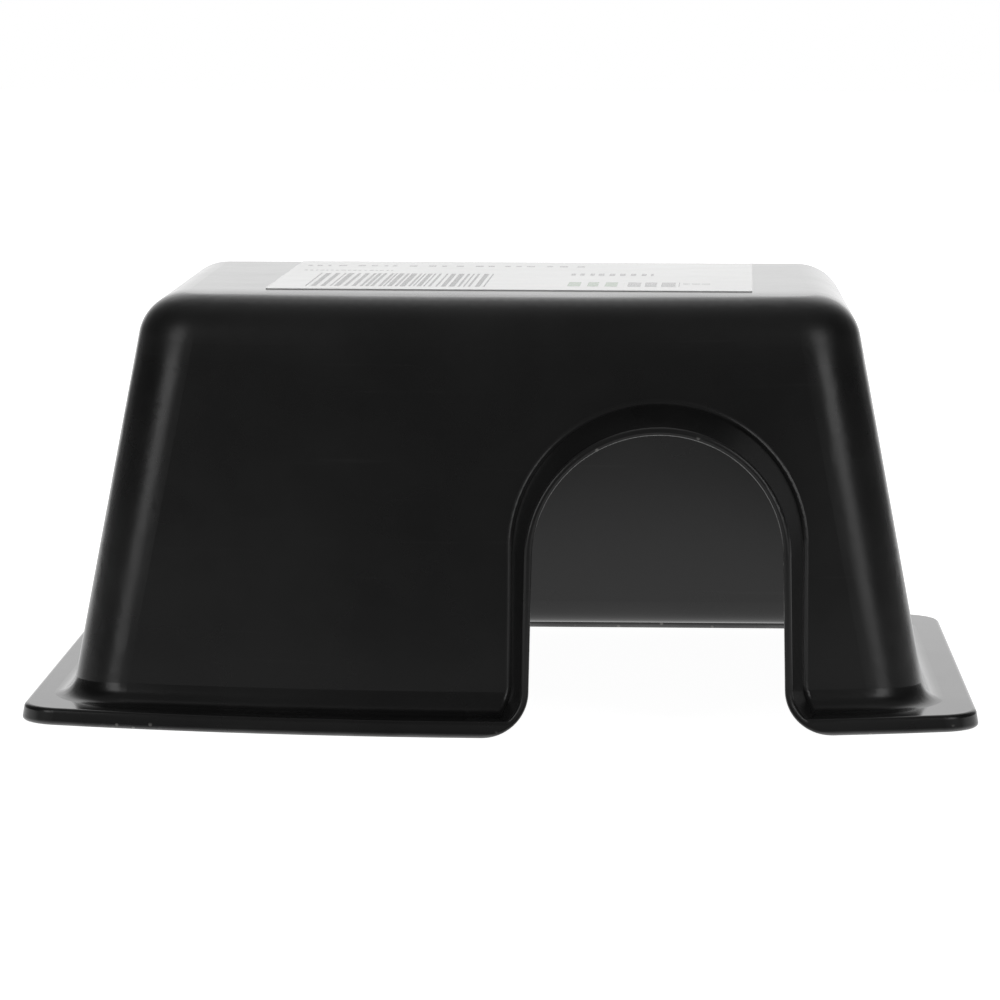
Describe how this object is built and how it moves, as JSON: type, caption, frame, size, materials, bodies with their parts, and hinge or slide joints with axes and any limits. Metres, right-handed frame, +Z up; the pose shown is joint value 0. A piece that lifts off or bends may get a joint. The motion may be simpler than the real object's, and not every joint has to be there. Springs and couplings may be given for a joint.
{
  "type": "plastic hide box",
  "caption": "Open-bottomed tapered shelter box for a small animal, with a foot flange and an arched doorway off centre in its front wall.",
  "frame": {"origin": "on the resting plane, under the middle of the footprint", "axes": "+Z up; the doorway's wall faces -Y; +X runs along the front towards the doorway's side"},
  "size_m": [0.1558, 0.115, 0.0692],
  "materials": {
    "shell_plastic": "satin, faintly mottled",
    "label_paper": "smooth coated paper, printed"
  },
  "bodies": {
    "root": {"hide_shell": "shell_plastic", "top_label": "label_paper"}
  },
  "joints": []
}
